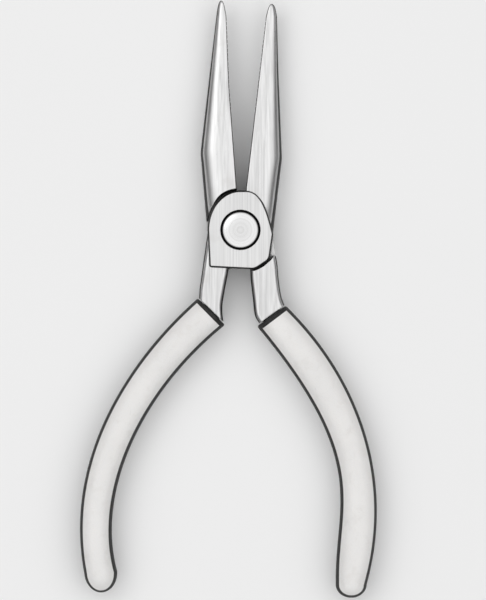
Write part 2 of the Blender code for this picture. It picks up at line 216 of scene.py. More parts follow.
def read_down(profile, height):
    """The value at a height in (value, height) pairs listed from the top down."""
    for (upper, above), (lower, below) in zip(profile, profile[1:]):
        if height >= below:
            return blend(upper, lower, (above - height) / (above - below))
    return profile[-1][0]


def eased(profile, height):
    """read_down with its kinks eased, by averaging over a short stretch."""
    low, high = profile[-1][1], profile[0][1]
    ease = min(KINK_EASE, high - height, height - low)
    offsets = [-1.0, -0.5, 0.0, 0.5, 1.0]
    return sum(read_down(profile, height + ease * offset) for offset in offsets) / len(offsets)


def thickness_at(height):
    """A jaw's thickness at a height."""
    profile = [(thickness, at) for at, thickness in JAW_THICKNESS]
    return eased(profile + [(FORGING_THICKNESS, JAW_FOOT)], height)


def smooth_points(points, steps):
    """A Catmull-Rom curve through the points, with steps points from each to the next."""
    known = [Vector(point) for point in points]
    padded = [2 * known[0] - known[1]] + known + [2 * known[-1] - known[-2]]
    curve = []
    for a, b, c, d in zip(padded, padded[1:], padded[2:], padded[3:]):
        for step in range(steps):
            t = step / steps
            bend = (2 * a - 5 * b + 4 * c - d) * t * t + (3 * b - a - 3 * c + d) * t**3
            curve.append((2 * b + (c - a) * t + bend) / 2)
    return curve + [known[-1]]


# ---------------------------------------------------------------- meshes


def link(item):
    """Put a new object in the scene."""
    bpy.context.scene.collection.objects.link(item)
    return item


def new_object(name, mesh_builder):
    """A scene object holding the builder's faces, turned outwards and scaled to metres."""
    bmesh.ops.recalc_face_normals(mesh_builder, faces=mesh_builder.faces)
    bmesh.ops.transform(mesh_builder, matrix=Matrix.Scale(MM, 4), verts=mesh_builder.verts)
    mesh = bpy.data.meshes.new(name)
    mesh_builder.to_mesh(mesh)
    mesh_builder.free()
    return link(bpy.data.objects.new(name, mesh))


def skin(mesh_builder, rings):
    """Cover a row of rings that have equally many points, and cap both ends."""
    rows = [[mesh_builder.verts.new(point) for point in ring] for ring in rings]
    count = len(rows[0])
    for lower, upper in zip(rows, rows[1:]):
        for index in range(count):
            following = (index + 1) % count
            mesh_builder.faces.new((lower[index], lower[following], upper[following], upper[index]))
    mesh_builder.faces.new(rows[0])
    mesh_builder.faces.new(rows[-1])


def skinned(name, rings):
    """An object that is one skinned row of rings."""
    mesh_builder = bmesh.new()
    skin(mesh_builder, rings)
    return new_object(name, mesh_builder)


def section(inner, outer, thickness, inner_corner, outer_corner, seam=None):
    """A rounded rectangle on edge, from the inner to the outer point, about the parting plane.

    Each corner is a quarter ellipse: (its reach across the section, its reach along Z). A seam
    is a small ridge on both sides, at the parting plane, and its value is the ridge's height.
    """
    inner = Vector(inner)
    span = Vector(outer) - inner
    width = span.length
    direction = span.normalized()
    half = thickness / 2
    corners = [
        (outer_corner, width, 1, 1, 0.0),
        (inner_corner, 0.0, -1, 1, 90.0),
        (inner_corner, 0.0, -1, -1, 180.0),
        (outer_corner, width, 1, -1, 270.0),
    ]
    profile = []
    for (reach, rise), edge, side, facing, first_angle in corners:
        for step in range(CORNER_STEPS + 1):
            angle = math.radians(first_angle + 90.0 * step / CORNER_STEPS)
            along = edge - side * reach + reach * math.cos(angle)
            height = facing * (half - rise) + rise * math.sin(angle)
            profile.append((along, height))
        if seam is not None and side != facing:
            foot = SEAM_HALF_WIDTH * min(1.0, thickness / GRIP_THICKNESS)
            profile += [(edge, -side * foot), (edge + side * seam, 0.0), (edge, side * foot)]
    ring = []
    for along, height in profile:
        point = inner + direction * along
        ring.append(Vector((point.x, point.y, PARTING_HEIGHT + height)))
    return ring


def flat_ring(outline, height, growth=0.0):
    """An outline at a height, moved away from the pivot axis by a growth."""
    ring = []
    for point in outline:
        grown = point + point.normalized() * growth
        ring.append(Vector((grown.x, grown.y, height)))
    return ring


def grown(outline, growth):
    """An anticlockwise outline moved outwards along its own normals."""
    moved = []
    for before, point, after in zip(outline[-1:] + outline[:-1], outline, outline[1:] + outline[:1]):
        forwards = ((point - before).normalized() + (after - point).normalized()).normalized()
        moved.append(point + Vector((forwards.y, -forwards.x)) * growth)
    return moved


def circle(radius, height):
    """A turned piece's ring about the pivot axis."""
    ring = []
    for step in range(TURNED_SEGMENTS):
        angle = math.tau * step / TURNED_SEGMENTS
        ring.append(Vector((radius * math.cos(angle), radius * math.sin(angle), height)))
    return ring


def turned(name, profile):
    """A solid of revolution about the pivot axis from (radius, height) points."""
    return skinned(name, [circle(radius, height) for radius, height in profile])


def combined(target, cutters):
    """The target after each (object, operation) in turn, which uses the other objects up."""
    for other, operation in cutters:
        modifier = target.modifiers.new(other.name, "BOOLEAN")
        modifier.operation = operation
        modifier.solver = "EXACT"
        modifier.object = other
    depsgraph = bpy.context.evaluated_depsgraph_get()
    result = bpy.data.meshes.new_from_object(target.evaluated_get(depsgraph))
    target.modifiers.clear()
    mesh_builder = bmesh.new()
    mesh_builder.from_mesh(result)
    bmesh.ops.dissolve_degenerate(mesh_builder, dist=SLIVER * MM, edges=mesh_builder.edges)
    mesh_builder.to_mesh(result)
    mesh_builder.free()
    target.data = result
    for other, _ in cutters:
        bpy.data.objects.remove(other, do_unlink=True)
    return target


def shade(item):
    """Smooth shading that keeps the worked edges crisp."""
    item.data.shade_smooth()
    item.data.set_sharp_from_angle(angle=SHARP_EDGE)
    weighted = item.modifiers.new("weighted_normals", "WEIGHTED_NORMAL")
    weighted.keep_sharp = True
    return item


# ---------------------------------------------------------------- hub


def front_boss_outline():
    """The front boss, anticlockwise from the middle of its crown."""
    crown = []
    for step in range(CROWN_STEPS):
        angle = math.radians(90.0 * step / CROWN_STEPS)
        crown.append(Vector((-CROWN_HALF_WIDTH * math.sin(angle), CROWN_HEIGHT * math.cos(angle))))
    flank_top = Vector((-CROWN_HALF_WIDTH, 0.0))
    shoulder = [bezier(CROWN_SHOULDER, step / SHOULDER_STEPS) for step in range(SHOULDER_STEPS + 1)]
    corners = [flank_top] + [Vector(corner) for corner in FOOT_CORNERS] + [shoulder[0]]
    foot = []
    for before, corner, after, reach in zip(corners, corners[1:], corners[2:], FOOT_CORNER_REACH):
        foot += soft_corner(before, corner, after, reach, FOOT_CORNER_STEPS)
    return crown + [flank_top] + foot + shoulder


def mirrored(outline):
    """The outline's mirror image about the YZ plane, still anticlockwise."""
    return [Vector((-point.x, point.y)) for point in reversed(outline)]


def radius_at(outline, angle):
    """How far the outline is from the pivot axis in one direction."""
    ray = Vector((math.cos(angle), math.sin(angle)))
    farthest = 0.0
    for start, end in zip(outline, outline[1:] + outline[:1]):
        edge = end - start
        slant = ray.cross(edge)
        if abs(slant) < NEARLY_PARALLEL:
            continue
        share = -ray.cross(start) / slant
        if 0.0 <= share <= 1.0:
            farthest = max(farthest, start.cross(edge) / slant)
    return farthest


def swept_outline(outline, first_turn, last_turn, open_spans):
    """What the outline covers while it turns, with clearance. Open spans are cut right away."""
    count = round(360.0 / SWEEP_STEP)
    reaches = [radius_at(outline, math.radians(index * SWEEP_STEP)) for index in range(count)]
    first = math.floor(first_turn / SWEEP_STEP)
    last = math.ceil(last_turn / SWEEP_STEP)
    swept = []
    for index in range(count):
        degrees = index * SWEEP_STEP
        reach = max(reaches[(index - turn) % count] for turn in range(first, last + 1))
        reach += BOSS_PROUD + SWEEP_CLEARANCE
        if any((degrees - low) % 360.0 <= high - low for low, high in open_spans):
            reach = SWEEP_OPEN_RADIUS
        angle = math.radians(degrees)
        swept.append(Vector((math.cos(angle), math.sin(angle))) * reach)
    return swept


def boss(name, outline, facing):
    """A boss from its land to just past the lap face, with the land's edge chamfered."""
    land_height = PARTING_HEIGHT + facing * HUB_THICKNESS / 2
    past_lap = PARTING_HEIGHT + facing * (LAP_GAP / 2 - BOSS_OVERLAP)
    steps = [
        (past_lap, BOSS_PROUD),
        (land_height - facing * CHAMFER_DEEP, BOSS_PROUD),
        (land_height, BOSS_PROUD - CHAMFER_ACROSS),
    ]
    return skinned(name, [flat_ring(grown(outline, growth), height) for height, growth in steps])


def sweep_cutter(name, outline, facing):
    """Clears the other half's boss, and chamfers the shoulder that it leaves on this half."""
    surface = PARTING_HEIGHT - facing * FORGING_THICKNESS / 2
    steps = [
        (PARTING_HEIGHT + facing * LAP_GAP / 2, 0.0),
        (surface + facing * CHAMFER_DEEP, 0.0),
        (surface, CHAMFER_ACROSS),
        (surface - facing * CUTTER_PROUD, CHAMFER_ACROSS),
    ]
    return skinned(name, [flat_ring(outline, height, growth) for height, growth in steps])


def bore_cutter(name):
    """The rivet's bore, right through both halves."""
    return turned(name, [(BORE_RADIUS, -HUB_THICKNESS), (BORE_RADIUS, 2 * HUB_THICKNESS)])


def seat_cutter(name, radius, floor, facing):
    """A counterbore with a chamfered rim, open towards the land."""
    land_height = PARTING_HEIGHT + facing * HUB_THICKNESS / 2
    profile = [
        (radius, floor),
        (radius, land_height - facing * CHAMFER_DEEP),
        (radius + SEAT_CHAMFER_ACROSS, land_height + facing * SEAT_CHAMFER_PROUD),
        (radius + SEAT_CHAMFER_ACROSS, land_height + facing * CUTTER_PROUD),
    ]
    return turned(name, profile)


# ---------------------------------------------------------------- forged halves


def jaw_section(inner, outer, thickness):
    """A jaw's section: a flat face inside and a rounded back."""
    width = (outer - inner).length
    back_across, back_deep = JAW_BACK_ROUNDING
    face_across, face_deep = JAW_FACE_CHAMFER
    widest, deepest = WIDEST_FACE_CHAMFER
    back = (back_across * width, back_deep * thickness / 2)
    face = (min(face_across, widest * width), min(face_deep, deepest * thickness))
    return section(inner, outer, thickness, face, back)


def rounding_over(station, powers):
    """A share that falls from 1 at station 0 to 0 at station 1, the steeper the nearer to 1."""
    inner_power, outer_power = powers
    return (1.0 - station**inner_power) ** outer_power


def jaw(name, shape):
    """A jaw from its rounded tip down into the hub."""
    tip = Vector(shape["tip"])
    nose_inner = Vector(shape["inner"][0])
    nose_outer = Vector(shape["outer"][0])
    middle = (nose_inner + nose_outer) / 2
    rings = []
    for index in range(TIP_RINGS):
        station = math.cos(math.radians(90.0 * (index + TIP_FIRST_RING) / TIP_RINGS))
        centre = middle.lerp(tip, station)
        narrowing = (1.0 - TIP_TAPER * station) * rounding_over(station, TIP_WIDTH_POWERS)
        half_width = (nose_outer - nose_inner) / 2 * narrowing
        thickness = thickness_at(blend(NOSE_HEIGHT, tip.y, station))
        thickness *= rounding_over(station, TIP_THICKNESS_POWERS)
        rings.append(jaw_section(centre - half_width, centre + half_width, thickness))
    for index in range(JAW_RINGS + 1):
        height = blend(NOSE_HEIGHT, JAW_FOOT, index / JAW_RINGS)
        inner = Vector((eased(shape["inner"], height), height))
        outer = Vector((eased(shape["outer"], height), height))
        rings.append(jaw_section(inner, outer, thickness_at(height)))
    return skinned(name, rings)


def teeth(name, shape):
    """A comb of V prisms that cuts the teeth into a jaw's gripping face."""
    mesh_builder = bmesh.new()
    edge = shape["inner"]
    towards_jaw = math.copysign(1.0, shape["outer"][0][0] - edge[0][0])
    half_width = 2 * TOOTH_DEPTH
    for index in range(TOOTH_COUNT):
        height = FIRST_TOOTH_HEIGHT - index * TOOTH_PITCH
        face = eased(edge, height)
        root = Vector((face + towards_jaw * TOOTH_DEPTH, height))
        above = Vector((face - towards_jaw * TOOTH_DEPTH, height + half_width))
        below = Vector((face - towards_jaw * TOOTH_DEPTH, height - half_width))
        outline = [root, above, below]
        skin(mesh_builder, [flat_ring(outline, 0.0), flat_ring(outline, HUB_THICKNESS)])
    return new_object(name, mesh_builder)


def grip_section(grip, share, width, thickness, corner, seam):
    """A section of a given width about the middle of a grip."""
    inner = bezier(grip["inner"], share)
    outer = bezier(grip["outer"], share)
    middle = (inner + outer) / 2
    half = (outer - inner).normalized() * width / 2
    return section(middle - half, middle + half, thickness, corner, corner, seam)


def tang_sections(grip, end, clearance, seam=None):
    """A tang's sections from the grip's mouth to its end, each grown by a clearance."""
    rings = []
    corner = (TANG_ROUNDING + clearance, TANG_ROUNDING + clearance)
    for station in range(TANG_RINGS + 1):
        reached = station / TANG_RINGS
        width = blend(*TANG_WIDTH, reached) + 2 * clearance
        thickness = blend(*TANG_THICKNESS, reached) + 2 * clearance
        share = end if station == TANG_RINGS else TANG_END * reached
        rings.append(grip_section(grip, share, width, thickness, corner, seam))
    return rings


def handle(name, shank, grip):
    """A shank from inside the hub to its shoulder at the grip's mouth, and the tang beyond."""
    mouth_inner = Vector(grip["inner"][0])
    mouth_outer = Vector(grip["outer"][0])
    mouth = (mouth_outer - mouth_inner).normalized()
    hubwards = Vector((-mouth.y, mouth.x))
    if hubwards.y < 0:
        hubwards = -hubwards
    shoulder_inner = mouth_inner + mouth * SHOULDER_INSET["inner"] + hubwards * MOUTH_GAP
    shoulder_outer = mouth_outer - mouth * SHOULDER_INSET["outer"] + hubwards * MOUTH_GAP
    inner_edge = smooth_points(shank["inner"] + [shoulder_inner], SHANK_RINGS)
    outer_edge = smooth_points(shank["outer"] + [shoulder_outer], SHANK_RINGS)
    last = len(inner_edge) - 1
    corner = (SHANK_ROUNDING, SHANK_ROUNDING)
    rings = []
    for index, (inner, outer) in enumerate(zip(inner_edge, outer_edge)):
        thickness = blend(FORGING_THICKNESS, SHANK_END_THICKNESS, index / last)
        rings.append(section(inner, outer, thickness, corner, corner))
    tang = tang_sections(grip, TANG_END, 0.0)
    back_off = Vector((hubwards.x, hubwards.y, 0.0)) * MOUTH_GAP
    rings.append([point + back_off for point in tang[0]])
    return skinned(name, rings + tang[1:])


def forged_half(name, jaw_shape, shank, grip, facing, outlines, seat):
    """One half: a jaw, a boss and a handle in one piece, cut to let the other half turn."""
    own_outline, swept = outlines
    seat_radius, seat_floor = seat
    steps = [
        (handle(name + "_handle", shank, grip), "UNION"),
        (boss(name + "_boss", own_outline, facing), "UNION"),
        (sweep_cutter(name + "_sweep", swept, facing), "DIFFERENCE"),
        (bore_cutter(name + "_bore"), "DIFFERENCE"),
        (seat_cutter(name + "_seat", seat_radius, seat_floor, facing), "DIFFERENCE"),
        (teeth(name + "_teeth", jaw_shape), "DIFFERENCE"),
    ]
    return shade(combined(jaw(name, jaw_shape), steps))


def front_half():
    """Right jaw, front boss and left handle."""
    own = front_boss_outline()
    open_spans = [(180.0 - high, 180.0 - low) for low, high in SWEEP_OPEN_SPANS]
    swept = swept_outline(mirrored(own), CLOSING_TURN, OPENING_TURN, open_spans)
    seat = (HEAD_RADIUS + SEAT_GAP, HEAD_UNDERSIDE - SEAT_GAP)
    return forged_half("front_steel", RIGHT_JAW, LEFT_SHANK, LEFT_GRIP, 1.0, (own, swept), seat)


def rear_half():
    """Left jaw, rear boss and right handle."""
    other = front_boss_outline()
    swept = swept_outline(other, -OPENING_TURN, -CLOSING_TURN, SWEEP_OPEN_SPANS)
    seat = (TAIL_RADIUS + SEAT_GAP, TAIL_THICKNESS + SEAT_GAP)
    outlines = (mirrored(other), swept)
    return forged_half("rear_steel", LEFT_JAW, RIGHT_SHANK, RIGHT_GRIP, -1.0, outlines, seat)


# ---------------------------------------------------------------- rivet and grips


def pivot_rivet():
    """A domed head, a shank through both halves and a tail formed flush with the rear land."""
    profile = [(TAIL_RADIUS * share, 0.0) for share in TAIL_FACE_RINGS]
    profile += [
        (TAIL_RADIUS, TAIL_CHAMFER),
        (TAIL_RADIUS, TAIL_THICKNESS),
        (RIVET_SHANK_RADIUS, TAIL_THICKNESS),
        (RIVET_SHANK_RADIUS, HEAD_UNDERSIDE),
        (HEAD_RADIUS, HEAD_UNDERSIDE),
    ]
    dome = DOME_HEIGHT - HEAD_RIM_HEIGHT
    for step in range(DOME_RINGS + 1):
        angle = math.radians(DOME_LAST_TURN * step / DOME_RINGS)
        profile.append((HEAD_RADIUS * math.cos(angle), HEAD_RIM_HEIGHT + dome * math.sin(angle)))
    return shade(turned("rivet_turned", profile))


def grip_ring(inner, outer, thickness):
    """A grip's oval section, flattened a little on all four sides."""
    half_width = (outer - inner).length / 2
    corner = (half_width * GRIP_ROUNDING, thickness / 2 * GRIP_ROUNDING)
    seam = SEAM_HEIGHT * thickness / GRIP_THICKNESS
    return section(inner, outer, thickness, corner, corner, seam)


def grip_outside(grip):
    """A grip's outer sections, from the closed end up to the mouth's rounded rim."""
    end_inner = bezier(grip["inner"], 1.0)
    end_outer = bezier(grip["outer"], 1.0)
    end_middle = (end_inner + end_outer) / 2
    end_half = (end_outer - end_inner) / 2
    endwards = Vector((end_half.y, -end_half.x)).normalized()
    if endwards.y > 0:
        endwards = -endwards
    rings = []
    for index in range(GRIP_END_RINGS, 0, -1):
        angle = math.radians(GRIP_END_LAST_TURN * index / GRIP_END_RINGS)
        centre = end_middle + endwards * grip["end_reach"] * math.sin(angle)
        half = end_half * math.cos(angle)
        rings.append(grip_ring(centre - half, centre + half, GRIP_THICKNESS * math.cos(angle)))
    length = (Vector(grip["outer"][-1]) - Vector(grip["outer"][0])).length
    rim_share = GRIP_RIM / length
    for index in range(GRIP_RINGS + 1):
        share = blend(1.0, rim_share, index / GRIP_RINGS)
        inner = bezier(grip["inner"], share)
        outer = bezier(grip["outer"], share)
        rings.append(grip_ring(inner, outer, GRIP_THICKNESS))
    for index in range(1, RIM_RINGS + 1):
        angle = math.radians(90.0 * index / RIM_RINGS)
        inset = GRIP_RIM * (1.0 - math.cos(angle))
        share = rim_share * (1.0 - math.sin(angle))
        inner = bezier(grip["inner"], share)
        outer = bezier(grip["outer"], share)
        step_in = (outer - inner).normalized() * inset
        rings.append(grip_ring(inner + step_in, outer - step_in, GRIP_THICKNESS - 2 * inset))
    return rings


def sleeve_grip(name, grip):
    """A soft sleeve: closed at its end, with a pocket that follows the tang.

    Its mouth shade attribute marks the mouth, where the dark band of painted shade runs right round.
    """
    pocket = tang_sections(grip, POCKET_END, TANG_CLEARANCE, seam=0.0)
    rings = grip_outside(grip) + pocket
    sleeve = shade(skinned(name, rings))
    first_mouth_shaded = (GRIP_END_RINGS + GRIP_RINGS) * len(rings[0])
    mouth_shade = sleeve.data.attributes.new(MOUTH_SHADE_ATTRIBUTE, "FLOAT", "POINT")
    for index, value in enumerate(mouth_shade.data):
        value.value = float(index >= first_mouth_shaded)
    return sleeve


# ---------------------------------------------------------------- materials

# Brushed grain, in cells per metre across and along the brushing
FINE_GRAIN = (5200.0, 90.0)
COARSE_GRAIN = (1900.0, 22.0)
BROAD_GRAIN = (700.0, 6.0)
FINE_GRAIN_RELIEF = 0.006
COARSE_GRAIN_RELIEF = 0.01

# Steel: where its flatness counts as ground, and how the oxide is lost and kept
GROUND_FLATNESS = (0.56, 0.67)
GROUND_RAGGEDNESS = 0.1
EDGE_RADIUS = 0.22
RUBBED_AGREEMENT = (0.985, 0.93)
MOST_EDGE_WEAR = 0.4
STEEL_CREVICE = 1.0
WIPED_OPENNESS = (0.42, 0.72)

# The forging's flash line along the parting plane: how far out it starts, and where it is full
FLASH_LINE_EDGES = (0.42, 0.2)
FLASH_LINE_RELIEF = 0.08

# Lathe rings on the rivet, in cells per metre, and where the painted shade on its rim starts and is
# full, as shares of the head's radius
FINE_RINGS = 9000.0
WIDE_RINGS = 1900.0
FINE_RING_RELIEF = 0.008
WIDE_RING_RELIEF = 0.03
PAINTED_RIM_SHADE = (0.9, 0.97)

# Vinyl: its skin, in cells per metre, where its dark bands of painted shade start, and how deep
# red, green and blue light sinks in
PEEL = 1300.0
PORES = 4200.0
SCUFFS = (900.0, 160.0, 900.0)
PEEL_RELIEF = 0.12
PORE_RELIEF = 0.02
BAND_RELIEF = 0.12
SHADED_SIDE_FLATNESS = (0.55, 0.49)
PAINTED_MOUTH_SHADE = (0.42, 0.5)
VINYL_CREVICE = 1.6
PAINTED_SHADE_OPENNESS = (0.78, 0.35)
LIGHT_DEPTHS = (1.2, 1.1, 1.0)

# The floor's paper, and how far from the tool it fades into the backdrop, in metres
FIBRE_RELIEF = 0.03
FLOOR_FADE = (0.4, 1.8)
BACKDROP_GLOW = 0.87


class Nodes:
    """A short way to write a material's node tree."""

    def __init__(self, name):
        self.material = bpy.data.materials.new(name)
        self.material.use_nodes = True
        self.tree = self.material.node_tree
        self.surface = self.tree.nodes["Principled BSDF"]
        self.place = self.add("ShaderNodeTexCoord").outputs["Object"]

    def add(self, kind, inputs=None, **settings):
        """A new node. Inputs are values or other nodes' outputs, by name or number."""
        node = self.tree.nodes.new(kind)
        for key, value in settings.items():
            setattr(node, key, value)
        for key, value in (inputs or {}).items():
            self.feed(node.inputs[key], value)
        return node

    def feed(self, socket, value):
        """Set a socket, or link another node's output to it."""
        if isinstance(value, bpy.types.NodeSocket):
            self.tree.links.new(value, socket)
        else:
            socket.default_value = value

    def set(self, **inputs):
        """Feed the Principled BSDF, with _ for each space in a socket's name."""
        for key, value in inputs.items():
            self.feed(self.surface.inputs[key.replace("_", " ")], value)

    def math(self, operation, *values):
        """One calculation on a few values."""
        return self.add("ShaderNodeMath", dict(enumerate(values)), operation=operation).outputs[0]

    def axis(self, vector, letter):
        """One part of a vector."""
        return self.add("ShaderNodeSeparateXYZ", {0: vector}).outputs[letter]

    def flatness(self):
        """1 where the surface faces up or down, and 0 where it stands upright."""
        facing = self.add("ShaderNodeTexCoord").outputs["Normal"]
        return self.math("ABSOLUTE", self.axis(facing, "Z"))

    def between(self, value, low, high, to_low=0.0, to_high=1.0):
        """Smoothly remap a value from low..high."""
        limits = {"From Min": low, "From Max": high, "To Min": to_low, "To Max": to_high}
        inputs = {"Value": value, **limits}
        return self.add("ShaderNodeMapRange", inputs, interpolation_type="SMOOTHSTEP").outputs[0]

    def mix(self, share, first, second):
        """A colour between two colours."""
        node = self.add("ShaderNodeMix", data_type="RGBA")
        sockets = {socket.name: socket for socket in node.inputs if socket.enabled}
        self.feed(sockets["Factor"], share)
        self.feed(sockets["A"], first)
        self.feed(sockets["B"], second)
        return next(socket for socket in node.outputs if socket.enabled)

    def noise(self, cells_per_metre, detail=3.0, roughness=0.55, vector=None):
        """Noise of one size, or of a size along each axis."""
        vector = vector or self.place
        if isinstance(cells_per_metre, tuple):
            mapping = {"Vector": vector, "Scale": cells_per_metre}
            vector = self.add("ShaderNodeMapping", mapping).outputs[0]
            cells_per_metre = 1.0
        inputs = {"Vector": vector, "Scale": cells_per_metre, "Detail": detail, "Roughness": roughness}
        return self.add("ShaderNodeTexNoise", inputs).outputs["Fac"]

    def crevice(self, depth):
        """1 in the open, and less where another surface is within a depth in millimetres."""
        inputs = {"Distance": depth * MM}
        return self.add("ShaderNodeAmbientOcclusion", inputs, samples=6).outputs["AO"]

    def bump(self, height, relief, strength, normal=None):
        """A bump whose full height is a relief in millimetres."""
        inputs = {"Height": height, "Distance": relief * MM, "Strength": strength}
        if normal is not None:
            inputs["Normal"] = normal
        return self.add("ShaderNodeBump", inputs).outputs[0]


def grey(level, warmth=0.0):
    """A nearly neutral colour."""
    return (level * (1 + warmth), level, level * (1 - warmth), 1.0)


def brushed(grain):
    """Cells per metre on each axis, for grain that runs along Y."""
    across, along = grain
    return (across, along, across)


def forged_steel(name):
    """Bright ground flats, with black oxide left on the sides, the chamfers and the joint."""
    made = Nodes(name)
    fine_grain = made.noise(brushed(FINE_GRAIN), 2.0)
    coarse_grain = made.noise(brushed(COARSE_GRAIN), 2.0)
    broad_grain = made.noise(brushed(BROAD_GRAIN), 1.0)
    cloud = made.noise(130.0, 4.0)
    speck = made.noise(1500.0, 2.0)

    raggedness = made.math("SUBTRACT", cloud, 0.5)
    ragged = made.math("MULTIPLY_ADD", raggedness, GROUND_RAGGEDNESS, made.flatness())
    ground = made.between(ragged, *GROUND_FLATNESS)
    eased_normal = made.add("ShaderNodeBevel", {"Radius": EDGE_RADIUS * MM}, samples=4).outputs[0]
    own_normal = made.add("ShaderNodeNewGeometry").outputs["Normal"]
    normals = {0: eased_normal, 1: own_normal}
    agreement = made.add("ShaderNodeVectorMath", normals, operation="DOT_PRODUCT").outputs["Value"]
    rubbed = made.between(agreement, *RUBBED_AGREEMENT)
    worn = made.math("MULTIPLY", rubbed, made.between(cloud, 0.35, 0.62, 0.0, MOST_EDGE_WEAR))
    wiped = made.between(made.crevice(STEEL_CREVICE), *WIPED_OPENNESS)
    bright = made.math("MULTIPLY", made.math("MAXIMUM", ground, worn), wiped)

    steel = made.mix(made.between(coarse_grain, 0.3, 0.7), grey(0.53), grey(0.74))
    steel = made.mix(made.between(broad_grain, 0.36, 0.64, 0.0, 0.35), steel, grey(0.76, 0.004))
    steel = made.mix(made.between(fine_grain, 0.3, 0.75, 0.0, 0.6), steel, grey(0.64, 0.004))
    steel = made.mix(made.between(cloud, 0.56, 0.74, 0.0, 0.35), steel, grey(0.5, 0.03))
    oxide = made.mix(made.between(speck, 0.35, 0.7), grey(0.018), grey(0.04, 0.03))
    above_parting = made.math("SUBTRACT", made.axis(made.place, "Z"), PARTING_HEIGHT * MM)
    outer_edge, inner_edge = FLASH_LINE_EDGES
    flash_line = made.between(made.math("ABSOLUTE", above_parting), outer_edge * MM, inner_edge * MM)
    oxide = made.mix(made.math("MULTIPLY", flash_line, 0.5), oxide, grey(0.1, 0.02))
    made.set(Base_Color=made.mix(bright, oxide, steel))
    made.set(Metallic=made.math("MULTIPLY_ADD", bright, 0.25, 0.75))

    ground_rough = made.math("MULTIPLY_ADD", fine_grain, 0.14, 0.19)
    ground_rough = made.math("MULTIPLY_ADD", broad_grain, 0.1, ground_rough)
    oxide_rough = made.between(speck, 0.3, 0.7, 0.36, 0.5)
    rough_span = made.math("SUBTRACT", ground_rough, oxide_rough)
    made.set(Roughness=made.math("MULTIPLY_ADD", rough_span, bright, oxide_rough))

    grain = made.bump(fine_grain, FINE_GRAIN_RELIEF, 0.6, eased_normal)
    grain = made.bump(coarse_grain, COARSE_GRAIN_RELIEF, 0.6, grain)
    made.set(Normal=made.bump(flash_line, FLASH_LINE_RELIEF, 0.7, grain))
    return made.material


def turned_steel(name):
    """Lathe rings about the pivot axis, with a dark line of painted shade round the head's rim, beside
    the seat's gap.
    """
    made = Nodes(name)
    squares = [made.math("POWER", made.axis(made.place, letter), 2.0) for letter in "XY"]
    radius = made.math("SQRT", made.math("ADD", *squares))
    from_axis = made.add("ShaderNodeCombineXYZ", {0: radius}).outputs[0]
    fine_rings = made.noise(FINE_RINGS, vector=from_axis)
    wide_rings = made.noise(WIDE_RINGS, 2.0, vector=from_axis)
    cloud = made.noise(260.0)

    steel = made.mix(fine_rings, grey(0.6), grey(0.78))
    steel = made.mix(made.between(wide_rings, 0.38, 0.66, 0.0, 0.4), steel, grey(0.54, 0.01))
    # Painted shade: a dark ring on the head's rim that widens the dark gap round its seat
    rim_shade = made.between(radius, *[share * HEAD_RADIUS * MM for share in PAINTED_RIM_SHADE])
    made.set(Base_Color=made.mix(rim_shade, steel, grey(0.05)))
    made.set(Metallic=1.0)
    made.set(Roughness=made.math("MULTIPLY_ADD", cloud, 0.16, 0.16))
    relief = made.bump(wide_rings, WIDE_RING_RELIEF, 0.6)
    made.set(Normal=made.bump(fine_rings, FINE_RING_RELIEF, 0.8, relief))
    return made.material


def soft_vinyl(name):
    """Pale vinyl above and below, with painted shade: a dark soft band along the upright sides and
    round the mouth, and darkening near other surfaces.
    """
    made = Nodes(name)
    peel = made.noise(PEEL)
    pores = made.noise(PORES, 2.0)
    cloud = made.noise(75.0, 4.0)
    smudge = made.noise(210.0, 5.0, 0.65)
    scuff = made.noise(SCUFFS, 4.0, 0.7)

    pale = made.mix(cloud, grey(0.74, 0.012), grey(0.86, 0.016))
    pale = made.mix(made.between(smudge, 0.5, 0.76, 0.0, 0.3), pale, grey(0.58, 0.05))
    pale = made.mix(made.between(scuff, 0.66, 0.76, 0.0, 0.25), pale, grey(0.45, 0.04))
    pale = made.mix(made.between(pores, 0.3, 0.46, 0.14, 0.0), pale, grey(0.5, 0.03))
    dark = made.mix(made.between(pores, 0.34, 0.62), grey(0.01), grey(0.036, 0.02))
    dark = made.mix(made.between(smudge, 0.5, 0.76, 0.0, 0.5), dark, grey(0.055, 0.03))
    # Painted shade: the mouth is painted dark, widening the shadow of the gap between sleeve and shank
    mouth = made.add("ShaderNodeAttribute", attribute_name=MOUTH_SHADE_ATTRIBUTE).outputs["Fac"]
    # Painted shade: the upright sides are painted dark, as if they stood in shade
    side = made.between(made.flatness(), *SHADED_SIDE_FLATNESS)
    painted_shade_band = made.math("MAXIMUM", side, made.between(mouth, *PAINTED_MOUTH_SHADE))
    # Painted shade: darker within VINYL_CREVICE of another surface, the floor and the steel included
    painted_crevice_shade = made.between(made.crevice(VINYL_CREVICE), *PAINTED_SHADE_OPENNESS)
    made.set(Base_Color=made.mix(made.math("MAXIMUM", painted_shade_band, painted_crevice_shade), pale, dark))
    band_rough = made.math("MULTIPLY_ADD", painted_shade_band, 0.16, 0.3)
    made.set(Roughness=made.math("MULTIPLY_ADD", smudge, 0.24, band_rough))
    made.set(Specular_IOR_Level=made.math("MULTIPLY_ADD", painted_shade_band, -0.24, 0.42))
    made.set(Subsurface_Weight=made.math("MULTIPLY_ADD", painted_shade_band, -0.12, 0.12))
    made.set(Subsurface_Radius=[depth * MM for depth in LIGHT_DEPTHS])

    step = made.bump(painted_shade_band, BAND_RELIEF, 0.8)
    relief = made.bump(peel, PEEL_RELIEF, 0.6, step)
    made.set(Normal=made.bump(pores, PORE_RELIEF, 0.6, relief))
    return made.material


